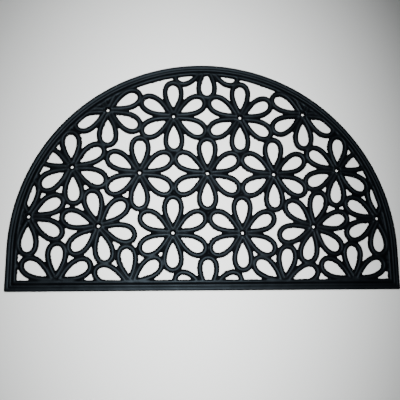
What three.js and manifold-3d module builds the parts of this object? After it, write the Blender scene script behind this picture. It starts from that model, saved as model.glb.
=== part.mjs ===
// Half-round openwork doormat, moulded in one piece of black rubber: a lattice of six-petalled
// flowers inside a three-ribbed border, flat underneath.
// Millimetres, +Z up. The origin is at the middle of the mat's box, on the floor: +X runs along
// the straight edge, +Y runs from the straight edge to the crown of the arch.

import * as THREE from "three";
import Module from "manifold-3d";
import { mergeVertices } from "three/addons/utils/BufferGeometryUtils.js";

// Driving dimensions
const WIDTH = 750;
const STRAIGHT_SIDE = 75;
const ARCH_RADIUS = WIDTH / 2;
const DEPTH = STRAIGHT_SIDE + ARCH_RADIUS;
const THICKNESS = 8;
const SHOULDER_HEIGHT = 5.5;
const BORDER_WIDTH = 19;
const ARCH_SEGMENTS = 32;

// The border's three ribs, from its outer foot inwards. The lattice runs in under the inner rib.
const INNER_RIB = 16.4;
const BORDER_SECTION = [
  { inward: 0, height: SHOULDER_HEIGHT },
  { inward: 2.5, height: THICKNESS },
  { inward: 5.5, height: THICKNESS },
  { inward: 7.2, height: 6.4 },
  { inward: 9.8, height: THICKNESS },
  { inward: 13.2, height: 4.5 },
  { inward: INNER_RIB, height: THICKNESS },
  { inward: BORDER_WIDTH, height: SHOULDER_HEIGHT },
];

// A petal is one closed loop of ribbed band. Its middle line is a teardrop on an axis that
// leaves the flower's centre, with its point at start and its round tip at reach. angles are
// the steps of the teardrop's formula on one side, in degrees.
const PETAL = {
  start: 8,
  reach: 71.2,
  halfWidth: 16.6,
  bandWidth: 9,
  ribHeight: 7.8,
  angles: [0, 60, 98, 140, 180],
};
// The largest value of sin t sin(t / 2).
const TEARDROP_CREST = 0.7698;

// Each centre has a raised boss with an eyelet through it.
const BOSS = { radius: 9, sides: 6 };
const EYELET_RADIUS = 4;

// Directions of a flower's petals in degrees: a whole flower, one that rises from the straight
// side, one that hangs from the crown, and one that grows out of the side of the arch.
const ALL_ROUND = [30, 90, 150, 210, 270, 330];
const RISING = [30, 90, 150];
const HANGING = [210, 270, 330];
const SIDEWAYS = [90, 150, 210, 270];

// One row for each flower on the centre line or on the right half; the left half mirrors it.
// y is measured from the straight edge, and turn is how far the flower is turned, in degrees.
const FLOWERS = [
  { x: 0, y: 224.9, turn: 0, petals: ALL_ROUND },
  { x: 132, y: 224.2, turn: 0, petals: ALL_ROUND },
  { x: 66.6, y: 340.2, turn: -1, petals: ALL_ROUND },
  { x: 67.1, y: 107.6, turn: 0, petals: ALL_ROUND },
  { x: 195.7, y: 351.8, turn: -0.6, petals: ALL_ROUND },
  { x: 260.8, y: 235.5, turn: -4.9, petals: ALL_ROUND },
  { x: 338.5, y: 137.6, turn: 0, petals: SIDEWAYS },
  { x: 207.6, y: 121.6, turn: -13.6, petals: ALL_ROUND },
  { x: 0, y: -9.6, turn: 0, petals: RISING },
  { x: 0, y: 451.6, turn: 0, petals: HANGING },
  { x: 146.5, y: 13, turn: -8.5, petals: RISING },
  { x: 284.5, y: 18.4, turn: 1, petals: RISING },
];

// Low three-cornered webs that close the small gaps where three tips meet, and fill in behind
// the two outermost flowers; mirrored as the flowers are. turn points at one corner.
const WEBS = [
  { x: 0, y: 147, radius: 9, turn: 30 },
  { x: 66.5, y: 186, radius: 9, turn: -30 },
  { x: 0, y: 301, radius: 9, turn: -30 },
  { x: 66.5, y: 263, radius: 9, turn: 30 },
  { x: 0, y: 378, radius: 9, turn: 30 },
  { x: 0, y: 69, radius: 9, turn: -30 },
  { x: 206, y: 365, radius: 18, turn: 235 },
  { x: 347, y: 139, radius: 15, turn: 190 },
];
const WEB_HEIGHT = 4.5;
const WEB_SIDES = 3;

// Every piece starts this far under the floor, and one flat cut makes the underside.
const BELOW = 1;
const ABOVE = 15;

const wasm = await Module();
wasm.setup();

const radians = THREE.MathUtils.degToRad;

function toManifold(positions, triangles) {
  const make = (triVerts) =>
    new wasm.Manifold(
      new wasm.Mesh({
        numProp: 3,
        vertProperties: new Float32Array(positions),
        triVerts: new Uint32Array(triVerts),
      }),
    );
  const solid = make(triangles);
  if (solid.volume() > 0) return solid;
  const turned = [];
  for (let i = 0; i < triangles.length; i += 3)
    turned.push(triangles[i + 1], triangles[i], triangles[i + 2]);
  return make(turned);
}

// A closed strip: the section's points stand sideways off the path, with mitred corners.
function moulding(path, section) {
  const positions = [];
  const triangles = [];
  const leftOf = (edge) => new THREE.Vector2(-edge.y, edge.x);
  path.forEach((point, i) => {
    const before = path.at(i - 1);
    const after = path[(i + 1) % path.length];
    const sideIn = leftOf(point.clone().sub(before).normalize());
    const sideOut = leftOf(after.clone().sub(point).normalize());
    const mitre = sideIn
      .clone()
      .add(sideOut)
      .divideScalar(1 + sideIn.dot(sideOut));
    for (const [aside, height] of section)
      positions.push(point.x + aside * mitre.x, point.y + aside * mitre.y, height);
  });
  const corner = (i, j) => (i % path.length) * section.length + (j % section.length);
  for (let i = 0; i < path.length; i++)
    for (let j = 0; j < section.length; j++)
      triangles.push(
        ...[corner(i, j), corner(i + 1, j), corner(i, j + 1)],
        ...[corner(i, j + 1), corner(i + 1, j), corner(i + 1, j + 1)],
      );
  return toManifold(positions, triangles);
}

// An upright prism on a flat outline.
function prism(outline, bottom, top) {
  const extruded = new THREE.ExtrudeGeometry(new THREE.Shape(outline), {
    depth: top - bottom,
    bevelEnabled: false,
  });
  extruded.deleteAttribute("normal");
  extruded.deleteAttribute("uv");
  const welded = mergeVertices(extruded.translate(0, 0, bottom), 1e-4);
  return toManifold(welded.attributes.position.array, welded.index.array);
}

function polygon(x, y, radius, sides, turn) {
  return Array.from({ length: sides }, (_, i) => {
    const angle = radians(turn + (360 * i) / sides);
    return new THREE.Vector2(x + radius * Math.cos(angle), y + radius * Math.sin(angle));
  });
}

// The mat's outline moved inwards: a half circle on a low rectangle.
function outline(inward) {
  const radius = ARCH_RADIUS - inward;
  const arch = Array.from({ length: ARCH_SEGMENTS + 1 }, (_, i) => {
    const angle = (Math.PI * i) / ARCH_SEGMENTS;
    return new THREE.Vector2(
      radius * Math.cos(angle),
      STRAIGHT_SIDE + radius * Math.sin(angle),
    );
  });
  return [...arch, new THREE.Vector2(-radius, inward), new THREE.Vector2(radius, inward)];
}

function isInside(x, y, inward) {
  const radius = ARCH_RADIUS - inward;
  if (y < STRAIGHT_SIDE) return y > inward && Math.abs(x) < radius;
  return Math.hypot(x, y - STRAIGHT_SIDE) < radius;
}

// The rows of both halves, from those of the right half.
function bothHalves(rows, mirrored) {
  return rows.flatMap((row) => (row.x === 0 ? [row] : [row, { ...row, ...mirrored(row) }]));
}

function mirroredFlower({ x, turn, petals }) {
  return { x: -x, turn: -turn, petals: petals.map((direction) => 180 - direction) };
}

function mirroredWeb({ x, turn }) {
  return { x: -x, turn: 180 - turn };
}

// Teardrop: along = start + length (1 - cos t) / 2, aside = half width sin t sin(t / 2).
function petalLine(flower, axis) {
  const there = PETAL.angles;
  const back = there.slice(1, -1).map((t) => 360 - t);
  return [...there, ...back.reverse()].map((t) => {
    const along =
      PETAL.start + ((PETAL.reach - PETAL.start) * (1 - Math.cos(radians(t)))) / 2;
    const aside =
      (PETAL.halfWidth * Math.sin(radians(t)) * Math.sin(radians(t / 2))) /
      TEARDROP_CREST;
    return new THREE.Vector2(along, aside)
      .rotateAround(new THREE.Vector2(), radians(axis))
      .add(new THREE.Vector2(flower.x, flower.y));
  });
}

function petal(flower, axis) {
  const edge = PETAL.bandWidth / 2;
  const section = [
    [-edge, -BELOW],
    [-edge, SHOULDER_HEIGHT],
    [0, PETAL.ribHeight],
    [edge, SHOULDER_HEIGHT],
    [edge, -BELOW],
  ];
  return moulding(petalLine(flower, axis), section);
}

function boss(flower) {
  const hexagon = polygon(flower.x, flower.y, BOSS.radius, BOSS.sides, flower.turn);
  return prism(hexagon, -BELOW, THICKNESS);
}

function eyelet(flower) {
  const hole = polygon(flower.x, flower.y, EYELET_RADIUS, BOSS.sides, flower.turn);
  return prism(hole, -2 * BELOW, ABOVE);
}

function web(row) {
  const corners = polygon(row.x, row.y, row.radius, WEB_SIDES, row.turn);
  return prism(corners, -BELOW, WEB_HEIGHT);
}

function border() {
  const ribs = BORDER_SECTION.map(({ inward, height }) => [inward, height]);
  return moulding(outline(0), [[0, -BELOW], ...ribs, [BORDER_WIDTH, -BELOW]]);
}

function buildMat() {
  const join = (solids) => wasm.Manifold.union(solids);
  const flowers = bothHalves(FLOWERS, mirroredFlower);
  const whole = flowers.filter((flower) => isInside(flower.x, flower.y, BORDER_WIDTH));
  const petals = flowers.flatMap((flower) =>
    flower.petals.map((direction) => petal(flower, direction + flower.turn)),
  );
  const webs = bothHalves(WEBS, mirroredWeb).map(web);
  const lattice = join([...petals, ...whole.map(boss), ...webs]);
  const pierced = lattice
    .intersect(prism(outline(INNER_RIB), -BELOW / 2, ABOVE))
    .add(border())
    .subtract(join(whole.map(eyelet)));
  const room = [
    new THREE.Vector2(-WIDTH, -DEPTH),
    new THREE.Vector2(WIDTH, -DEPTH),
    new THREE.Vector2(WIDTH, 2 * DEPTH),
    new THREE.Vector2(-WIDTH, 2 * DEPTH),
  ];
  return pierced.intersect(prism(room, 0, ABOVE));
}

function toGeometry(solid) {
  const { vertProperties, triVerts } = solid.getMesh();
  const geometry = new THREE.BufferGeometry();
  geometry.setAttribute("position", new THREE.BufferAttribute(vertProperties, 3));
  geometry.setIndex(new THREE.BufferAttribute(triVerts, 1));
  geometry.computeVertexNormals();
  return geometry;
}

const rubber = new THREE.MeshStandardMaterial({
  name: "rubber",
  color: 0x14181b,
  roughness: 0.55,
  metalness: 0,
});

const mat = new THREE.Mesh(toGeometry(buildMat()), rubber);
mat.name = "mat";
mat.position.set(0, -DEPTH / 2, 0);

const doormat = new THREE.Group();
doormat.add(mat);

export default doormat;
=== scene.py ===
# %% [markdown]
# # A half-round doormat of moulded rubber
# The real mat is pressed from black rubber in one mould: a lattice of looped flowers inside a
# border of three ribs, flat underneath. This lesson builds it as one relief. A plan says what is
# rubber and what is open, and a height says how far the rubber rises at each place of the plan.
# Both are plain numpy arrays, and Blender joins the points into triangles.

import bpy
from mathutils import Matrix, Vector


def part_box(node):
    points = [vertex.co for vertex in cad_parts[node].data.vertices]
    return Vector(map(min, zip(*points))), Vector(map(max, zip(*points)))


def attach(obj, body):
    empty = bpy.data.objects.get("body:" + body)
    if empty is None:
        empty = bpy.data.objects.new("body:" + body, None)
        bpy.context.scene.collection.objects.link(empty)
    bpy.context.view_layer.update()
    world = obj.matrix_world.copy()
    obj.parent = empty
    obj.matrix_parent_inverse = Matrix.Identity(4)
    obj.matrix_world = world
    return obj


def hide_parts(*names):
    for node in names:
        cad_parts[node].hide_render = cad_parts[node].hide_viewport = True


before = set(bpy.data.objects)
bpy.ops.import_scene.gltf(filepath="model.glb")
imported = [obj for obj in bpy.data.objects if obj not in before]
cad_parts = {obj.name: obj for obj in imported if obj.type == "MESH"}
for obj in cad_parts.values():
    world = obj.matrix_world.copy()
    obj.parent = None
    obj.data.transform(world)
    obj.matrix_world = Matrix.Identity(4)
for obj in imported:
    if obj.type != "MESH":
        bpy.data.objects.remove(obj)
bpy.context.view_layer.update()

# %% [markdown]
# ## Sizes
# A mould maker would think in millimetres, so the lesson does too, and turns them into Blender's
# metres only when a mesh is made. The overall sizes come from the solid part. Its origin is in
# the middle, but the flowers are easier to place from the straight edge, so y starts there.

# %% Sizes of the mat
import math

import bpy
import numpy as np
from mathutils import Vector
from mathutils.geometry import delaunay_2d_cdt

MM = 0.001
mat_low, mat_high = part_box("mat")
WIDTH, DEPTH, THICKNESS = ((mat_high[i] - mat_low[i]) / MM for i in range(3))
ARCH_RADIUS = WIDTH / 2
STRAIGHT_SIDE = DEPTH - ARCH_RADIUS
print(f"{WIDTH:.0f} x {DEPTH:.0f} x {THICKNESS:.0f} mm, straight side {STRAIGHT_SIDE:.0f} mm")

# %% [markdown]
# ## Camera
# The photo looks almost straight down from a little under a metre, from over the straight edge
# and somewhat to the left. The lens and the place were worked out from the outline's corners and
# the flowers' centres. A camera could be aimed with a constraint, but three angles are plainer.

# %% Camera at the photo's angle
LENS_MM = 45.66
SENSOR_MM = 36.0
CAMERA_PLACE = (-0.0996, -0.2177, 0.9715)
CAMERA_TURN_DEG = (9.729, -4.924, -0.369)

camera_data = bpy.data.cameras.new("camera")
camera_data.lens = LENS_MM
camera_data.sensor_width = SENSOR_MM
camera = bpy.data.objects.new("camera", camera_data)
camera.location = CAMERA_PLACE
camera.rotation_euler = [math.radians(angle) for angle in CAMERA_TURN_DEG]
bpy.context.scene.collection.objects.link(camera)
bpy.context.scene.camera = camera
print("camera", CAMERA_PLACE, "lens", LENS_MM)

# %% [markdown]
# ## The flowers
# Every flower has six looped petals, 60 degrees apart. Whole flowers stand in staggered rows, and
# the mould maker let some be cut by the border, so that only a few of their petals are left. A row
# for each flower of the right half is enough, because the left half is its mirror image.

# %% Flower table
# Directions of the petals in degrees: of a whole flower, of one that rises from the straight edge,
# of one that hangs from the crown, and of one that grows out of the side of the arch.
ALL_ROUND = (30, 90, 150, 210, 270, 330)
RISING = (30, 90, 150)
HANGING = (210, 270, 330)
SIDEWAYS = (90, 150, 210, 270)

# Each centre in millimetres from the middle of the straight edge, and how far the flower is turned.
FLOWERS = [
    {"x": 0.0, "y": 226.5, "turn": 0.0, "petals": ALL_ROUND},
    {"x": 132.5, "y": 226.1, "turn": 0.0, "petals": ALL_ROUND},
    {"x": 66.8, "y": 341.8, "turn": -1.0, "petals": ALL_ROUND},
    {"x": 67.5, "y": 109.1, "turn": 0.0, "petals": ALL_ROUND},
    {"x": 196.2, "y": 351.4, "turn": -0.6, "petals": ALL_ROUND},
    {"x": 261.7, "y": 235.5, "turn": -4.9, "petals": ALL_ROUND},
    {"x": 338.7, "y": 138.8, "turn": 0.0, "petals": SIDEWAYS},
    {"x": 208.7, "y": 121.8, "turn": -13.6, "petals": ALL_ROUND},
    {"x": 0.0, "y": -8.1, "turn": 0.0, "petals": RISING},
    {"x": 0.0, "y": 453.1, "turn": 0.0, "petals": HANGING},
    {"x": 146.8, "y": 13.8, "turn": -8.5, "petals": RISING},
    {"x": 284.8, "y": 18.8, "turn": 1.0, "petals": RISING},
]


def mirrored(flower):
    """The same flower on the left half: x and turn change sign, a direction a becomes 180 - a."""
    directions = tuple(180 - direction for direction in flower["petals"])
    return {"x": -flower["x"], "y": flower["y"], "turn": -flower["turn"], "petals": directions}


flowers = FLOWERS + [mirrored(flower) for flower in FLOWERS if flower["x"] > 0]
print(len(flowers), "flowers with", sum(len(f["petals"]) for f in flowers), "petals")

# %% [markdown]
# ## One petal
# A petal is a closed band of rubber. Its middle line is a teardrop: pointed at the flower's
# centre, round at the tip. A spline through hand-placed points would do, but a formula makes every
# petal alike and lets its size be changed by one number.

# %% Petal line
PETAL_START = 8.0
PETAL_REACH = 70.8
PETAL_HALF_WIDTH = 16.2
PETAL_STEPS = 48
# The largest value of sin t sin(t / 2).
TEARDROP_CREST = 0.7698


def petal_line(flower, direction, steps=PETAL_STEPS):
    """Along is start + (reach - start)(1 - cos t) / 2 and aside is half width sin t sin(t / 2)
    over its crest, for t in one full turn; then the line is turned and moved to its flower."""
    t = (np.arange(steps) + 0.5) * 2 * np.pi / steps
    along = PETAL_START + (PETAL_REACH - PETAL_START) * (1 - np.cos(t)) / 2
    aside = PETAL_HALF_WIDTH * np.sin(t) * np.sin(t / 2) / TEARDROP_CREST
    angle = math.radians(direction + flower["turn"])
    x = flower["x"] + along * math.cos(angle) - aside * math.sin(angle)
    y = flower["y"] + along * math.sin(angle) + aside * math.cos(angle)
    return np.column_stack([x, y])


petal_lines = [petal_line(f, direction) for f in flowers for direction in f["petals"]]
print(len(petal_lines), "petal lines of", PETAL_STEPS, "points")

# %% [markdown]
# ## The plan's grid
# The plan is worked out on a fine square grid. How far a grid point lies inside the mat's outline
# settles the border, and how far it lies from the petals' middle lines settles the bands.

# %% Grid and outline distance
CELL = 0.5
MARGIN = 4.0
CORNER_RADIUS = 3.0
grid_x = np.arange(-WIDTH / 2 - MARGIN, WIDTH / 2 + MARGIN + CELL / 2, CELL)
grid_y = np.arange(-MARGIN, DEPTH + MARGIN + CELL / 2, CELL)
gx, gy = np.meshgrid(grid_x, grid_y)


def inwards(x, y):
    """How far a point lies inside the outline. Beside the arch it is the radius less the distance
    from the arch's centre, or the distance to the straight edge if that is less; beside the
    straight side, the lesser of the distances to the nearer side and to the straight edge; near a
    bottom corner, the corner's radius less the distance from its centre."""
    over = ARCH_RADIUS - np.hypot(x, y - STRAIGHT_SIDE)
    under = np.minimum(ARCH_RADIUS - np.abs(x), y)
    to_side = ARCH_RADIUS - CORNER_RADIUS - np.abs(x)
    to_edge = y - CORNER_RADIUS
    corner = CORNER_RADIUS - np.hypot(to_side, to_edge)
    under = np.where((to_side < 0) & (to_edge < 0), corner, under)
    return np.where(y > STRAIGHT_SIDE, np.minimum(over, y), under)


inside_by = inwards(gx, gy)
print("grid", inside_by.shape, "deepest point", round(float(inside_by.max()), 1), "mm inside")

# %% [markdown]
# ## A bead
# Every band carries a rounded bead on its middle line. Its section is a formula of the distance
# from that line, so the distance is all that has to be found for each grid point.

# %% Distance from a line and section of a bead
BAND_WIDTH = 10.4
BEAD_HEIGHT = 3.6
BEAD_ROUNDNESS = 2.5


def line_distance(x, y, line):
    """Drops each point onto every straight step of a closed line, holds the foot between the
    step's ends, and keeps the shortest distance."""
    step = np.roll(line, -1, axis=0) - line
    dx = x[..., None] - line[:, 0]
    dy = y[..., None] - line[:, 1]
    foot = np.clip((dx * step[:, 0] + dy * step[:, 1]) / (step**2).sum(axis=1), 0, 1)
    return np.sqrt(((dx - foot * step[:, 0]) ** 2 + (dy - foot * step[:, 1]) ** 2).min(axis=-1))


def bead(distance, half_width, height, roundness):
    """The height times (1 - |distance / half width| to the power of the roundness): 2 is a
    parabola, and a higher number gives a flatter top between steeper shoulders."""
    return height * np.clip(1 - np.abs(distance / half_width) ** roundness, 0, 1)


halfway = bead(BAND_WIDTH / 4, BAND_WIDTH / 2, BEAD_HEIGHT, BEAD_ROUNDNESS)
print("a petal's bead is", BEAD_HEIGHT, "mm high, and halfway to its edge", round(float(halfway), 2))

# %% [markdown]
# ## Bands and fillets
# Where two bands meet, the mould leaves no sharp nick: rubber fills any gap that a small ball
# could not enter. Rounded unions do that. Each shape is grown by one fillet radius, every grid
# point adds up the squares of how deep it lies in the grown shapes, and the edge runs where the
# root of the sum equals that radius. The same pass adds up the beads, with a high power, so that
# the highest bead wins and crossings blend softly.

# %% Paint the petals onto the grid
FILLET = 2.0
BLEND_POWER = 8
PATCH_MARGIN = 2.5
FAR = 99.0

near = np.full(gx.shape, FAR)
next_near = np.full(gx.shape, FAR)
reach_sum = np.zeros(gx.shape)
rib_sum = np.zeros(gx.shape)
spread = BAND_WIDTH / 2 + FILLET + PATCH_MARGIN
for line in petal_lines:
    low, high = line.min(axis=0) - spread, line.max(axis=0) + spread
    columns = slice(*np.searchsorted(grid_x, (low[0], high[0])))
    rows = slice(*np.searchsorted(grid_y, (low[1], high[1])))
    if rows.stop <= rows.start:
        continue
    patch = rows, columns
    distance = line_distance(gx[patch], gy[patch], line)
    next_near[patch] = np.minimum(next_near[patch], np.maximum(near[patch], distance))
    near[patch] = np.minimum(near[patch], distance)
    reach_sum[patch] += np.clip(FILLET + BAND_WIDTH / 2 - distance, 0, None) ** 2
    rib_sum[patch] += bead(distance, BAND_WIDTH / 2, BEAD_HEIGHT, BEAD_ROUNDNESS) ** BLEND_POWER
print("banded share of the grid", round(float((near < BAND_WIDTH / 2).mean()), 3))

# %% [markdown]
# ## Hubs and webs
# A thin web of rubber closes the middle of each flower that stands clear of the border, and the
# corners where three tips meet. Discs are the simplest way to have them, because the fillets blend
# them with the petals.

# %% Tables of hubs and webs
BORDER_WIDTH = 20.4
HUB_RADIUS = 13.0
WEBS = [
    {"x": 0.0, "y": 148.5, "radius": 4.6},
    {"x": 66.7, "y": 187.6, "radius": 4.6},
    {"x": 0.0, "y": 302.6, "radius": 4.6},
    {"x": 66.7, "y": 264.7, "radius": 4.6},
    {"x": 0.0, "y": 379.5, "radius": 4.6},
    {"x": 0.0, "y": 70.5, "radius": 4.6},
    {"x": 207.0, "y": 366.0, "radius": 9.0},
    {"x": 349.0, "y": 139.0, "radius": 8.0},
    {"x": 350.0, "y": 127.5, "radius": 3.5},
]
# Two more that the mat has on its right side only.
RIGHT_WEBS = [
    {"x": 350.5, "y": 62.0, "radius": 4.5},
    {"x": 353.0, "y": 39.0, "radius": 4.0},
]

webs = WEBS + [{**web, "x": -web["x"]} for web in WEBS if web["x"] > 0] + RIGHT_WEBS
hubs = [flower for flower in flowers if inwards(flower["x"], flower["y"]) > BORDER_WIDTH]
print(len(hubs), "hubs,", len(webs), "corner webs")

# %% [markdown]
# ## Everything in one union
# The border, the webs and the hubs join the same rounded union as the petals, so the fillets run
# round all of them. The distance from the nearest hub is kept for the eyelets, which are small
# circles taken out again later.

# %% Border, webs and hubs join the petals
gap = np.minimum(near - BAND_WIDTH / 2, inside_by - BORDER_WIDTH)
reach_sum += np.clip(FILLET + BORDER_WIDTH - inside_by, 0, None) ** 2
for disc in webs + [{**hub, "radius": HUB_RADIUS} for hub in hubs]:
    outside_disc = np.hypot(gx - disc["x"], gy - disc["y"]) - disc["radius"]
    gap = np.minimum(gap, outside_disc)
    reach_sum += np.clip(FILLET - outside_disc, 0, None) ** 2

hub_distance = np.full(gx.shape, FAR)
for hub in hubs:
    hub_distance = np.minimum(hub_distance, np.hypot(gx - hub["x"], gy - hub["y"]))
print("share of the grid in the union", round(float((reach_sum > FILLET**2).mean()), 3))

# %% [markdown]
# ## A slow wander
# Moulded rubber never has quite even edges. A sum of a few long waves, each with its own direction
# and phase, gives a slow, small wander. The waves come from a seeded generator, so they are the
# same every time.

# %% Waves from a seeded generator
SEED = 41
WAVES = 7
LENGTH_RANGE = (0.75, 1.35)
rng = np.random.default_rng(SEED)


def wander(x, y, wavelength):
    """A sum of sine waves of about one wavelength, each in its own direction and phase, scaled
    so that its mean square is one."""
    angle = rng.uniform(0, 2 * np.pi, WAVES)
    pitch = 2 * np.pi / (wavelength * rng.uniform(*LENGTH_RANGE, WAVES))
    phase = rng.uniform(0, 2 * np.pi, WAVES)
    total = np.zeros(np.shape(x))
    for a, k, p in zip(angle, pitch, phase):
        total += np.sin(k * (x * np.cos(a) + y * np.sin(a)) + p)
    return total * np.sqrt(2 / WAVES)


print("every wander adds up", WAVES, "waves")

# %% [markdown]
# ## The edge field
# One number says at each grid point how far it is outside the rubber: below zero is rubber, above
# zero is open. The wander is added to it. Slits too narrow for the mould's steel are closed: a
# place stays open only if a ball of the least radius could lie in the opening there. Last, the
# eyelets are opened, and everything past the mat's outline is too.

# %% Edge field
EDGE_WANDER = 0.14
EDGE_WAVELENGTH = 24.0
LEAST_RADIUS = 1.45
LOOKS = 16
EYELET_RADIUS = 2.7


def slits_closed(field, radius):
    """Looks one radius away in even directions. The furthest out that is found there, less the
    way to it, says how far out the place is for a ball; the lower of that and the field holds."""
    best = np.full(field.shape, -FAR)
    for angle in np.arange(LOOKS) * 2 * np.pi / LOOKS:
        rows = round(radius * math.sin(angle) / CELL)
        columns = round(radius * math.cos(angle) / CELL)
        away = math.hypot(rows, columns) * CELL
        best = np.maximum(best, np.roll(field, (rows, columns), axis=(0, 1)) - away)
    return np.minimum(field, best)


def softened(field):
    """Mixes every value with its neighbours, 1 to 2 to 1 along the rows and the columns."""
    for axis in (0, 1):
        field = (np.roll(field, 1, axis) + 2 * field + np.roll(field, -1, axis)) / 4
    return field


edge_field = np.where(gap > FILLET, gap, FILLET - np.sqrt(reach_sum))
edge_field = edge_field + EDGE_WANDER * wander(gx, gy, EDGE_WAVELENGTH)
edge_field = softened(softened(slits_closed(edge_field, LEAST_RADIUS)))
edge_field = np.maximum(edge_field, EYELET_RADIUS - hub_distance)
edge_field = np.maximum(edge_field, -inside_by)
covered = float((edge_field < 0).sum()) * CELL**2 / 1e6
print("rubber covers", round(covered, 4), "square metres")

# %% [markdown]
# ## The relief
# Three ribs run round the border, one bead runs along every petal, a raised ring stands round
# every eyelet, and a knob marks the foot of four half flowers on the straight side. Each is a
# height above the thin web, and the same high-power sum joins them. The petals' beads fade out
# where they run in under the border's inner rib.

# %% Raised forms
WEB_HEIGHT = 4.2
BORDER_RIBS = [
    {"inward": 3.8, "half_width": 4.6, "height": 3.6, "roundness": 4.0},
    {"inward": 10.0, "half_width": 4.0, "height": 3.8, "roundness": 3.2},
    {"inward": 17.0, "half_width": 4.2, "height": 3.5, "roundness": 2.8},
]
FADE_FROM = 16.2
FADE_WIDTH = 1.6
RING_RADIUS = 7.3
RING_HALF_WIDTH = 1.8
RING_HEIGHT = 3.4
RING_ROUNDNESS = 3.0
# The knobs of the right half; the left half has the same.
KNOBS = [
    {"x": 284.8, "y": 25.5},
    {"x": 146.8, "y": 23.5},
]
KNOB_RADIUS = 5.0
KNOB_ROUNDNESS = 3.0


def fade_in(t):
    """Zero below 0, one above 1, and 3 t t - 2 t t t between."""
    t = np.clip(t, 0, 1)
    return t * t * (3 - 2 * t)


petal_beads = rib_sum ** (1 / BLEND_POWER) * fade_in((inside_by - FADE_FROM) / FADE_WIDTH)
raised = petal_beads**BLEND_POWER
for rib in BORDER_RIBS:
    offset = inside_by - rib["inward"]
    raised += bead(offset, rib["half_width"], rib["height"], rib["roundness"]) ** BLEND_POWER
ring_offset = hub_distance - RING_RADIUS
raised += bead(ring_offset, RING_HALF_WIDTH, RING_HEIGHT, RING_ROUNDNESS) ** BLEND_POWER
for knob in KNOBS:
    knob_distance = np.hypot(np.abs(gx) - knob["x"], gy - knob["y"])
    raised += bead(knob_distance, KNOB_RADIUS, BEAD_HEIGHT, KNOB_ROUNDNESS) ** BLEND_POWER
height_field = WEB_HEIGHT + raised ** (1 / BLEND_POWER)
print("highest place before it is cut level:", round(float(height_field.max()), 2), "mm")

# %% [markdown]
# ## Dimples and funnels
# A dimple marks the root of every petal's opening, and each eyelet is a small funnel inside its
# ring. Both are cut into the relief, and a slight wander keeps the tops from looking machined.

# %% Height field
DIMPLE_REACH = 13.2
DIMPLE_RADIUS = 1.8
DIMPLE_DEPTH = 2.0
FUNNEL_FLOOR = 2.8
FUNNEL_WIDTH = 4.2
FUNNEL_SPARE = 0.3
TOP_WANDER = 0.08
TOP_WAVELENGTH = 30.0

for hub in hubs:
    for direction in hub["petals"]:
        angle = math.radians(direction + hub["turn"])
        dx = gx - hub["x"] - DIMPLE_REACH * math.cos(angle)
        dy = gy - hub["y"] - DIMPLE_REACH * math.sin(angle)
        height_field -= DIMPLE_DEPTH * np.exp(-(dx**2 + dy**2) / DIMPLE_RADIUS**2)
up_the_funnel = fade_in((hub_distance - EYELET_RADIUS + FUNNEL_SPARE) / FUNNEL_WIDTH)
funnel = FUNNEL_FLOOR + (THICKNESS - FUNNEL_FLOOR) * up_the_funnel
height_field = height_field + TOP_WANDER * wander(gx, gy, TOP_WAVELENGTH)
height_field = np.minimum(height_field, THICKNESS)
in_ring = hub_distance < RING_RADIUS
height_field = np.where(in_ring, np.minimum(height_field, funnel), height_field)
lowest = float(height_field[edge_field < 0].min())
print("heights", round(lowest, 2), "to", round(THICKNESS, 2), "mm")

# %% [markdown]
# ## Reading the fields between grid points
# The mesh's points fall between the grid's, so a value is mixed from its four neighbours. The
# edge field's slope says which way is out, and moving a point along it by the field's own value
# puts it on the edge.

# %% Sampling
LEAST_SLOPE = 0.2
LONGEST_MOVE = 0.8
# How far the last place that can be read lies before the grid's end, in cells.
SHORT_OF_END = 1.001
slope_y, slope_x = np.gradient(edge_field, CELL)


def sample(field, points):
    """Mixes the four grid values around each point by how near it lies to each of them."""
    column = np.clip((points[:, 0] - grid_x[0]) / CELL, 0, len(grid_x) - SHORT_OF_END)
    row = np.clip((points[:, 1] - grid_y[0]) / CELL, 0, len(grid_y) - SHORT_OF_END)
    i, j = row.astype(int), column.astype(int)
    v, u = row - i, column - j
    low = field[i, j] * (1 - u) + field[i, j + 1] * u
    high = field[i + 1, j] * (1 - u) + field[i + 1, j + 1] * u
    return low * (1 - v) + high * v


def outwards(points):
    """The edge field's slope at each point, made one long."""
    slope = np.column_stack([sample(slope_x, points), sample(slope_y, points)])
    return slope / np.maximum(np.linalg.norm(slope, axis=1, keepdims=True), LEAST_SLOPE)


def onto_edge(points, rounds=3):
    """Newton's rule: step back along the slope by the field's value, a few times."""
    for _ in range(rounds):
        step = np.clip(sample(edge_field, points), -LONGEST_MOVE, LONGEST_MOVE)
        points = points - step[:, None] * outwards(points)
    return points


steepness = float(np.hypot(slope_x, slope_y)[np.abs(edge_field) < CELL].mean())
print("the edge field's slope at the edge is", round(steepness, 2), "on average")

# %% [markdown]
# ## Outlines
# Every opening and the mat itself need a closed outline. On a coarser grid, each square that the
# edge crosses gets one point, and every grid side that the edge crosses joins the points of the
# two squares beside it. That way, known as surface nets, gives even, closed outlines. A square
# whose corners are chequered would need two points, so its lower corners are made rubber first.

# %% Squares that the edge crosses
OUTLINE_STEP = 5
FILLING_ROUNDS = 4


def corners(grid):
    """The four corners of every square: south-west, south-east, north-west and north-east."""
    return grid[:-1, :-1], grid[:-1, 1:], grid[1:, :-1], grid[1:, 1:]


coarse = edge_field[::OUTLINE_STEP, ::OUTLINE_STEP] < 0
coarse_x, coarse_y = grid_x[::OUTLINE_STEP], grid_y[::OUTLINE_STEP]
for _ in range(FILLING_ROUNDS):
    south_west, south_east, north_west, north_east = corners(coarse)
    chequered = (south_west == north_east) & (south_east == north_west) & (south_west != south_east)
    coarse[:-1, :-1] |= chequered
    coarse[:-1, 1:] |= chequered

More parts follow.
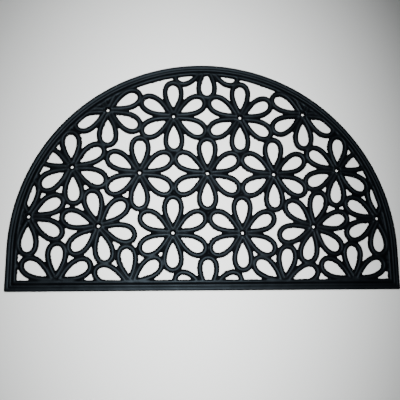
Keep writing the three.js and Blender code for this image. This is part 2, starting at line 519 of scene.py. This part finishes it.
south_west, south_east, north_west, north_east = corners(coarse)
crossed = (south_west != south_east) | (south_west != north_west) | (south_west != north_east)
number = np.cumsum(crossed).reshape(crossed.shape) - 1
row, column = np.nonzero(crossed)
half = OUTLINE_STEP * CELL / 2
outline = np.column_stack([coarse_x[column] + half, coarse_y[row] + half])
print("the edge crosses", len(outline), "squares")

# %% [markdown]
# ## From square to square
# An outline runs with the rubber on its left. So at a grid side with rubber to the left and an
# opening to the right it goes up, from the square below to the one above, and the other three
# cases follow by turning that one.

# %% Which point comes after which
after = np.zeros(len(outline), int)
left, right = coarse[1:-1, :-1], coarse[1:-1, 1:]
below, above = number[:-1, :], number[1:, :]
after[below[left & ~right]] = above[left & ~right]
after[above[~left & right]] = below[~left & right]
under, over = coarse[:-1, 1:-1], coarse[1:, 1:-1]
west, east = number[:, :-1], number[:, 1:]
after[east[under & ~over]] = west[under & ~over]
after[west[~under & over]] = east[~under & over]
print("every point comes after just one other:", len(np.unique(after)) == len(after))

# %% [markdown]
# ## Even outlines
# The squares' middles make a stepped outline. The points are evened out along the edge, drawn
# onto it, and doubled where the outline turns sharply.

# %% Outlines of the mat and its openings
SHARP_TURN = math.radians(24)
LEAST_SIDE = 0.9
DOUBLINGS = 2


def evened(points, after, rounds):
    """Each point slides along the edge, halfway to the middle of its two neighbours, and is then
    drawn onto the edge again."""
    before = np.empty(len(after), int)
    before[after] = np.arange(len(after))
    for _ in range(rounds):
        out = outwards(points)
        slide = (points[before] + points[after] - 2 * points) / 4
        slide -= (slide * out).sum(axis=1, keepdims=True) * out
        points = onto_edge(points + slide, rounds=1)
    return onto_edge(points)


def doubled(points, after):
    """Adds the middle of each side that meets a neighbour at a sharp turn."""
    before = np.empty(len(after), int)
    before[after] = np.arange(len(after))
    arriving, leaving = points - points[before], points[after] - points
    cross = arriving[:, 0] * leaving[:, 1] - arriving[:, 1] * leaving[:, 0]
    turn = np.abs(np.arctan2(cross, (arriving * leaving).sum(axis=1)))
    split = (turn > SHARP_TURN) | (turn[after] > SHARP_TURN)
    split &= np.linalg.norm(leaving, axis=1) > LEAST_SIDE
    start = np.nonzero(split)[0]
    extra = len(points) + np.arange(len(start))
    middles = (points[start] + points[after[start]]) / 2
    longer = np.concatenate([after, after[start]])
    longer[start] = extra
    return np.vstack([points, middles]), longer


outline = evened(onto_edge(outline, rounds=4), after, rounds=8)
for _ in range(DOUBLINGS):
    outline, after = doubled(outline, after)
    outline = evened(outline, after, rounds=2)
worst = float(np.abs(sample(edge_field, outline)).max())
print(len(outline), "outline points, worst off the edge by", round(worst, 3), "mm")

# %% [markdown]
# ## Rows of points on the relief
# Between the outlines the mesh needs points where the relief bends: rows along every petal at a
# few distances from its middle line, rows round the border, and circles round the eyelets. A
# plain grid would need many times as many points for the same crispness. A row is a pair: its
# points, and the sides that join those of them that are neighbours.

# %% Rows and their sides
PETAL_SPACING = 3.0
LOOK_AHEAD = 0.2


def kept_row(stops, keep):
    """Keeps some stops of a closed row, and the sides between stops that were neighbours."""
    number = np.cumsum(keep) - 1
    both = keep & np.roll(keep, -1)
    sides = np.column_stack([number, np.roll(number, -1)])[both]
    return stops[keep], sides


def evenly(line, spacing):
    """Walks a closed line at equal steps and gives each stop and the way square to it."""
    closed = np.vstack([line, line[:1]])
    walked = np.concatenate([[0], np.cumsum(np.linalg.norm(np.diff(closed, axis=0), axis=1))])
    stops = np.arange(round(walked[-1] / spacing)) * walked[-1] / round(walked[-1] / spacing)
    ahead = (stops + LOOK_AHEAD) % walked[-1]
    here = np.column_stack([np.interp(stops, walked, closed[:, i]) for i in range(2)])
    there = np.column_stack([np.interp(ahead, walked, closed[:, i]) for i in range(2)])
    way = (there - here) / np.linalg.norm(there - here, axis=1, keepdims=True)
    return here, np.column_stack([-way[:, 1], way[:, 0]])


print("a petal's line has", len(evenly(petal_lines[0], PETAL_SPACING)[0]), "stops")

# %% [markdown]
# ## Rows round the eyelets and along the petals
# Where petals cross, each place belongs to the petal whose line is nearest, and the others' rows
# stop short of it. The rows also stay clear of the rings and of the openings' rims, and they end
# just inside the border's foot.

# %% Ring and petal rows
RING_ROWS = (3.6, 4.4, 5.2, 6.0, 6.7, 7.4, 8.2, 9.0, 9.8)
RING_STOPS = 24
PETAL_ROWS = (0.0, 1.2, 2.3, 3.3, 4.2)
FINE_STEPS = 240
RIM = 0.4
CLEAR_OF_RIM = 0.25
CLEAR_OF_RINGS = 0.7
CLEAR_OF_PETALS = 0.5
PAST_BORDER = 0.5
SLACK = 0.08


def ring_rows():
    """Circles of even stops round every eyelet."""
    angle = np.arange(RING_STOPS) * 2 * np.pi / RING_STOPS
    circle = np.column_stack([np.cos(angle), np.sin(angle)])
    everywhere = np.ones(RING_STOPS, bool)
    return [kept_row(radius * circle + (hub["x"], hub["y"]), everywhere)
            for hub in hubs for radius in RING_ROWS]


def petal_rows():
    """Offsets every petal line to both sides by each row's distance."""
    rows = []
    for flower in flowers:
        for direction in flower["petals"]:
            line = petal_line(flower, direction, FINE_STEPS)
            stops, square = evenly(line, PETAL_SPACING)
            for off in sorted({side * row for row in PETAL_ROWS for side in (-1, 1)}):
                row = stops + off * square
                keep = sample(near, row) > abs(off) - SLACK
                keep &= sample(next_near, row) > abs(off) + CLEAR_OF_PETALS
                keep &= sample(hub_distance, row) > RING_ROWS[-1] + CLEAR_OF_RINGS
                keep &= inwards(*row.T) > BORDER_WIDTH - PAST_BORDER
                keep &= sample(edge_field, row) < -RIM - CLEAR_OF_RIM
                rows.append(kept_row(row, keep))
    return rows


rings, petals = ring_rows(), petal_rows()
print(len(rings), "rings and", len(petals), "petal rows")

# %% [markdown]
# ## Rows round the border, and stops on the webs
# The border's rows have their stops side by side and meet in a mitre at the corners. The webs are
# almost flat, so a coarse grid of stops is enough for them.

# %% Border rows and web stops
BORDER_ROWS = (1.0, 2.2, 3.9, 5.6, 6.7, 7.4, 8.1, 9.0, 10.0, 11.0, 11.9, 12.8, 13.7, 14.6, 15.5,
               17.0, 18.5)
BORDER_SPACING = 5.0
CLEAR_OF_CORNER = 1.0
WEB_SPACING = 2.6
CLEAR_OF_ROWS = 1.0


def border_rows():
    """Walks the outline moved inwards: up the right side, over the arch, down the left side and
    back along the straight edge, with a stop in each mitre."""
    rows = []
    angle = np.linspace(0, np.pi, round(np.pi * ARCH_RADIUS / BORDER_SPACING))
    up = np.arange(STRAIGHT_SIDE - BORDER_SPACING, 0, -BORDER_SPACING)[::-1]
    along = np.arange(-ARCH_RADIUS + CLEAR_OF_CORNER, ARCH_RADIUS, BORDER_SPACING)
    for inward in BORDER_ROWS:
        radius = ARCH_RADIUS - inward
        rise = up[up > inward + CLEAR_OF_CORNER]
        run = along[np.abs(along) < radius - CLEAR_OF_CORNER]
        x = [[radius], np.full(len(rise), radius), radius * np.cos(angle),
             np.full(len(rise), -radius), [-radius], run]
        y = [[inward], rise, STRAIGHT_SIDE + radius * np.sin(angle),
             rise[::-1], [inward], np.full(len(run), inward)]
        row = np.column_stack([np.concatenate(x), np.concatenate(y)])
        rows.append(kept_row(row, np.ones(len(row), bool)))
    return rows


def web_stops():
    """A coarse grid without sides, kept where no petal line, ring, border or rim is near."""
    across = np.arange(-WIDTH / 2, WIDTH / 2, WEB_SPACING)
    x, y = np.meshgrid(across, np.arange(0, DEPTH, WEB_SPACING))
    stops = np.column_stack([x.ravel(), y.ravel()])
    far = sample(near, stops) > PETAL_ROWS[-1] + CLEAR_OF_ROWS
    far &= inwards(*stops.T) > BORDER_WIDTH + CLEAR_OF_ROWS
    far &= sample(hub_distance, stops) > RING_ROWS[-1] + CLEAR_OF_ROWS
    far &= sample(edge_field, stops) < -RIM - CLEAR_OF_RIM
    return [(stops[far], np.empty((0, 2), int))]


borders, webbing = border_rows(), web_stops()
print(len(borders), "border rows and", len(webbing[0][0]), "stops on the webs")

# %% [markdown]
# ## The plan's points
# The outlines come first, so that their points keep their numbers. Just inside them runs a second
# line, the rim, where the rounded edge begins. Then come all the rows.

# %% Gather the plan
def gathered(rows):
    """Joins rows into one array of points, and shifts each row's sides to its place in it."""
    first = np.cumsum([0] + [len(stops) for stops, _ in rows[:-1]])
    points = np.vstack([stops for stops, _ in rows])
    return points, np.vstack([sides + shift for (_, sides), shift in zip(rows, first)])


start = np.arange(len(outline))
outline_sides = np.column_stack([start, after])
rim = outline - RIM * outwards(outline)
edges = [(outline, outline_sides), (rim, outline_sides)]
plan, plan_sides = gathered(edges + petals + borders + rings + webbing)
print(len(plan), "points in the plan and", len(plan_sides), "sides")

# %% [markdown]
# ## Joining the points
# A Delaunay triangulation joins points into triangles that are as even as they can be, and it can
# be told which sides to keep: the outlines and the rows. Where two kept sides cross it adds a
# point. It fills the openings too, so the triangles in them are taken out again. The edge field
# settles most triangles. One that uses a side of an outline in its own direction is rubber, and
# one that uses it backwards is open. The few that are left follow their neighbours, in a fixed
# number of rounds, and then the edge field.

# %% Triangles of a plan
SURE = 0.7
VOTING_ROUNDS = 30
# The triangulation's own settings: fill the whole hull, and join points closer than this.
WHOLE_HULL = 0
SAME_PLACE = 1e-7
MOST_MOVED = 1e-3


def neighbours(triangles, count, outline_codes):
    """Pairs of triangles that share a side, apart from the outlines' sides. Each side gets one
    number whichever way it runs, and two equal numbers in sorted order are a pair."""
    sides = np.stack([triangles, np.roll(triangles, -1, axis=1)], axis=-1).reshape(-1, 2)
    codes = sides.min(axis=1) * count + sides.max(axis=1)
    owner = np.repeat(np.arange(len(triangles)), 3)
    order = np.argsort(codes, kind="stable")
    codes, owner = codes[order], owner[order]
    twin = (codes[:-1] == codes[1:]) & ~np.isin(codes[:-1], outline_codes)
    return owner[:-1][twin], owner[1:][twin]


def rubber_triangles(points, sides, after):
    """Triangulates the points and keeps the rubber's triangles. Gives the points, with those
    that were added, and the triangles."""
    vectors = list(map(Vector, points))
    result = delaunay_2d_cdt(vectors, sides.tolist(), [], WHOLE_HULL, SAME_PLACE, False)
    placed, triangles = np.array(result[0]), np.array(result[2])
    assert np.abs(placed[:len(points)] - points).max() < MOST_MOVED, "two points fell together"
    count = len(placed)
    turns = np.stack([triangles, np.roll(triangles, -1, axis=1)], axis=-1)
    codes = turns[..., 0] * count + turns[..., 1]
    begin = np.arange(len(after))
    forwards = np.isin(codes, begin * count + after).any(axis=1)
    backwards = np.isin(codes, after * count + begin).any(axis=1)
    depth = sample(edge_field, placed[triangles].mean(axis=1))
    state = np.where(np.abs(depth) > SURE, -np.sign(depth), 0)
    state[forwards] = 1
    state[backwards] = -1
    outline_codes = np.minimum(begin, after) * count + np.maximum(begin, after)
    one, other = neighbours(triangles, count, outline_codes)
    for _ in range(VOTING_ROUNDS):
        votes = np.bincount(one, state[other], len(state))
        votes = votes + np.bincount(other, state[one], len(state))
        state = np.where(state == 0, np.sign(votes), state)
    state = np.where(state == 0, -np.sign(depth), state)
    return placed, triangles[state > 0]


plan, top = rubber_triangles(plan, plan_sides, after)
print(len(plan), "points and", len(top), "triangles on the relief")

# %% [markdown]
# ## Flash
# At the foot of the walls the mould's two halves met, and some rubber crept out between them: a
# thin ragged flash, wider in some stretches than in others. It is trimmed along the mat's own
# edge, and the eyelets have almost none.

# %% Flash round the openings
FLASH_LEAST = 0.12
FLASH_MOST = 0.9
TEAR_WAVELENGTH = 6.0
TEAR_FROM = -0.1
TEAR_RISE = 1.2
STRETCH_WAVELENGTH = 45.0
STRETCH_FROM = 0.1
STRETCH_RISE = 0.7
QUIET_SHARE = 0.25
TRIMMED_SHARE = 0.1
EDGE_ZONE = 1.0

ragged = fade_in((wander(*outline.T, TEAR_WAVELENGTH) - TEAR_FROM) / TEAR_RISE)
stretches = fade_in((wander(*outline.T, STRETCH_WAVELENGTH) - STRETCH_FROM) / STRETCH_RISE)
ragged *= QUIET_SHARE + (1 - QUIET_SHARE) * stretches
ragged *= np.where(inwards(*outline.T) < EDGE_ZONE, TRIMMED_SHARE, 1.0)
ragged *= np.where(sample(hub_distance, outline) < EYELET_RADIUS + EDGE_ZONE, 0.0, 1.0)
flash = outline + (FLASH_LEAST + FLASH_MOST * ragged)[:, None] * outwards(outline)
under_points, under = rubber_triangles(flash, outline_sides, after)
assert len(under_points) == len(flash), "the flash met itself"
print("flash up to", round(FLASH_LEAST + FLASH_MOST * float(ragged.max()), 2), "mm wide")

# %% [markdown]
# ## Walls and underside
# Below the rounded edge the walls go straight down to the flash. The underside is flat, so it
# needs no points but the flash's own. Its triangles are turned over, to face the floor.

# %% The whole skin
EDGE_DROP = 0.55
FLASH_HEIGHT = 0.6


def lifted(points, height):
    """Puts a height beside the plan's two numbers."""
    return np.column_stack([points, np.broadcast_to(height, len(points))])


heights = sample(height_field, plan)
heights[:len(outline)] = sample(height_field, rim) - EDGE_DROP
points = np.vstack([lifted(plan, heights), lifted(outline, FLASH_HEIGHT), lifted(flash, 0.0)])
foot = len(plan) + start
tip = foot + len(outline)
walls = []
for low, high in ((foot, start), (tip, foot)):
    walls.append(np.column_stack([low, low[after], high[after]]))
    walls.append(np.column_stack([low, high[after], high]))
faces = np.vstack([top, *walls, under[:, ::-1] + tip[0]])
print(len(points), "points and", len(faces), "triangles")

# %% [markdown]
# ## A closed skin
# A skin is closed when every side of a triangle is used once in each direction. It costs a few
# lines to test here, and it would be hard to see in the render.

# %% Test the skin
sides = np.stack([faces, np.roll(faces, -1, axis=1)], axis=-1).reshape(-1, 2)
one_way = np.sort(sides[:, 0] * len(points) + sides[:, 1])
other_way = np.sort(sides[:, 1] * len(points) + sides[:, 0])
closed = bool((one_way == other_way).all())
print("closed:", closed, "and no side twice:", bool((np.diff(one_way) > 0).all()))

# %% [markdown]
# ## Into Blender
# The points move from the straight edge's frame to the solid's, whose origin is in the middle, and
# from millimetres to metres. Smooth shading runs over the beads, and stops at the walls' edges.

# %% The mat's mesh
CREASE = math.radians(52)

points[:, 1] -= DEPTH / 2
mesh = bpy.data.meshes.new("doormat")
mesh.vertices.add(len(points))
mesh.vertices.foreach_set("co", (points * MM).ravel())
mesh.loops.add(faces.size)
mesh.loops.foreach_set("vertex_index", faces.ravel())
mesh.polygons.add(len(faces))
mesh.polygons.foreach_set("loop_start", np.arange(0, faces.size, 3))
mesh.polygons.foreach_set("use_smooth", np.ones(len(faces), bool))
mesh.update(calc_edges=True)
mesh.set_sharp_from_angle(angle=CREASE)
mesh.validate()
doormat = bpy.data.objects.new("doormat", mesh)
bpy.context.scene.collection.objects.link(doormat)
print("mesh", [round(side, 4) for side in doormat.dimensions], "metres")

# %% [markdown]
# ## Node helpers
# A material is a small graph of nodes. Four short functions keep the graph readable: one makes an
# empty material, and the others add a noise, stretch its range and turn it into a bump.

# %% Helpers for materials
NOISE_LOW = 0.3
NOISE_HIGH = 0.7


def new_material(name):
    """An empty node material with its nodes, its links and its shader."""
    material = bpy.data.materials.new(name)
    material.use_nodes = True
    nodes = material.node_tree.nodes
    links = material.node_tree.links
    return material, nodes, links, nodes["Principled BSDF"]


def noise(nodes, links, coordinates, scale, detail):
    """A noise texture on the given coordinates, which are metres."""
    texture = nodes.new("ShaderNodeTexNoise")
    texture.inputs["Scale"].default_value = scale
    texture.inputs["Detail"].default_value = detail
    links.new(coordinates, texture.inputs["Vector"])
    return texture.outputs["Fac"]


def ranged(nodes, links, value, value_range, result_range):
    """Stretches a range of values evenly onto a range of results, and holds what lies beyond."""
    stretch = nodes.new("ShaderNodeMapRange")
    stretch.inputs["From Min"].default_value = value_range[0]
    stretch.inputs["From Max"].default_value = value_range[1]
    stretch.inputs["To Min"].default_value = result_range[0]
    stretch.inputs["To Max"].default_value = result_range[1]
    links.new(value, stretch.inputs["Value"])
    return stretch.outputs["Result"]


def bumped(nodes, links, height, strength, distance, below=None):
    """A bump of the given height in metres, on top of another bump if there is one."""
    bump = nodes.new("ShaderNodeBump")
    bump.inputs["Strength"].default_value = strength
    bump.inputs["Distance"].default_value = distance
    links.new(height, bump.inputs["Height"])
    if below:
        links.new(below, bump.inputs["Normal"])
    return bump.outputs["Normal"]


print("noises are read from", NOISE_LOW, "to", NOISE_HIGH)

# %% [markdown]
# ## Rubber
# The rubber is almost black with a cold, bluish gloss. The gloss follows the height: it is turned
# down in the recesses as painted shade, so they stay darker than the tops of the beads. It isn't
# polished: the mould's steel was slightly rough, and use leaves patches. So the colour and the
# roughness drift slowly over the mat, and a gentle waviness and a fine grain go in as bump. The
# bumps' heights are in metres, and a noise's scale is about the number of its patches to the metre.

# %% Rubber material
RUBBER_DARK = (0.0012, 0.0014, 0.0018, 1)
RUBBER_PALE = (0.0026, 0.0032, 0.0040, 1)
SHEEN_COLOUR = (0.63, 0.84, 1.0, 1)
GLOSS = (0.018, 0.09)
# The specular level from the recesses to the tops, and the heights over which it rises: painted
# shade keeps the recesses dark.
PAINTED_SHADE_HEIGHT = (6.2, 7.6)
ROUGHNESS = (0.40, 0.50)
PATCH_SCALE = 16.0
ROUGHNESS_SCALE = 36.8
WAVE_SCALE = 110.0
WAVE_STRENGTH = 0.25
WAVE_HEIGHT = 0.0012
GRAIN_SCALE = 900.0
GRAIN_STRENGTH = 0.35
GRAIN_HEIGHT = 0.0003

rubber, nodes, links, shader = new_material("rubber")
place = nodes.new("ShaderNodeTexCoord").outputs["Object"]
noise_range = (NOISE_LOW, NOISE_HIGH)

patches = noise(nodes, links, place, PATCH_SCALE, detail=3)
colour = nodes.new("ShaderNodeMix")
colour.data_type = "RGBA"
colour.inputs["A"].default_value = RUBBER_DARK
colour.inputs["B"].default_value = RUBBER_PALE
links.new(ranged(nodes, links, patches, noise_range, (0, 1)), colour.inputs["Factor"])
links.new(colour.outputs["Result"], shader.inputs["Base Color"])

drift = noise(nodes, links, place, ROUGHNESS_SCALE, detail=4)
links.new(ranged(nodes, links, drift, noise_range, ROUGHNESS), shader.inputs["Roughness"])

parted = nodes.new("ShaderNodeSeparateXYZ")
links.new(place, parted.inputs["Vector"])
# Painted shade: the specular level is low in the recesses and rises with the height towards the
# tops.
painted_shade_metres = [height * MM for height in PAINTED_SHADE_HEIGHT]
painted_shade_gloss = ranged(nodes, links, parted.outputs["Z"], painted_shade_metres, GLOSS)
links.new(painted_shade_gloss, shader.inputs["Specular IOR Level"])
shader.inputs["Specular Tint"].default_value = SHEEN_COLOUR

waves = noise(nodes, links, place, WAVE_SCALE, detail=2)
wavy = bumped(nodes, links, waves, WAVE_STRENGTH, WAVE_HEIGHT)
grain = noise(nodes, links, place, GRAIN_SCALE, detail=2)
grainy = bumped(nodes, links, grain, GRAIN_STRENGTH, GRAIN_HEIGHT, below=wavy)
links.new(grainy, shader.inputs["Normal"])
doormat.data.materials.append(rubber)
print("rubber with", len(nodes), "nodes")

# %% [markdown]
# ## Floor
# The mat lies on a plain, pale, dull floor. One big square is enough. It lies a hair below the
# mat's flat underside, so that the two faces don't fight in the render. It isn't part of the object.
# From here on all lengths are in metres.

# %% A plain floor
FLOOR_COLOUR = (0.80, 0.82, 0.81, 1)
FLOOR_ROUGHNESS = 0.85
FLOOR_REACH = 4.0
FLOOR_Z = -0.0002

floor_corners = [(x * FLOOR_REACH, y * FLOOR_REACH, FLOOR_Z)
                 for x, y in ((-1, -1), (1, -1), (1, 1), (-1, 1))]
floor_mesh = bpy.data.meshes.new("floor")
floor_mesh.from_pydata(floor_corners, [], [(0, 1, 2, 3)])
floor = bpy.data.objects.new("floor", floor_mesh)
bpy.context.scene.collection.objects.link(floor)

floor_finish, _, _, floor_shader = new_material("floor")
floor_shader.inputs["Base Color"].default_value = FLOOR_COLOUR
floor_shader.inputs["Roughness"].default_value = FLOOR_ROUGHNESS
floor_mesh.materials.append(floor_finish)
print("floor", 2 * FLOOR_REACH, "metres square")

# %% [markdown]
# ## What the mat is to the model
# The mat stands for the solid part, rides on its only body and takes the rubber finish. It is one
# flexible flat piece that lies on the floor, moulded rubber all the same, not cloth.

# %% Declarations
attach(doormat, "root")
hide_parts("mat")

# %% [markdown]
# ## Light
# In the photo the floor is brightest below the middle of the picture and darkens towards its
# corners, and the beads' tops shine in the middle and go dark towards the sides. One long soft
# lamp does the same: it hangs straight above the mat, its long way points from the straight edge
# to the crown, and its limited spread lets the corners darken. A weak even sky opens the shadows.

# %% Lamp and sky
SKY_COLOUR = (0.95, 0.98, 1.0, 1)
SKY_STRENGTH = 0.02
LAMP_PLACE = (-0.045, -0.10, 1.0)
LAMP_WIDTH = 0.3
LAMP_LENGTH = 1.0
LAMP_SPREAD_DEG = 62.0
LAMP_POWER = 6.3

world = bpy.data.worlds.new("studio")
world.use_nodes = True
background = world.node_tree.nodes["Background"]
background.inputs["Color"].default_value = SKY_COLOUR
background.inputs["Strength"].default_value = SKY_STRENGTH
bpy.context.scene.world = world

lamp_data = bpy.data.lights.new("lamp", "AREA")
lamp_data.shape = "ELLIPSE"
lamp_data.size = LAMP_WIDTH
lamp_data.size_y = LAMP_LENGTH
lamp_data.energy = LAMP_POWER
lamp_data.spread = math.radians(LAMP_SPREAD_DEG)
lamp = bpy.data.objects.new("lamp", lamp_data)
lamp.location = LAMP_PLACE
bpy.context.scene.collection.objects.link(lamp)
print("lamp", LAMP_POWER, "watts, sky", SKY_STRENGTH)
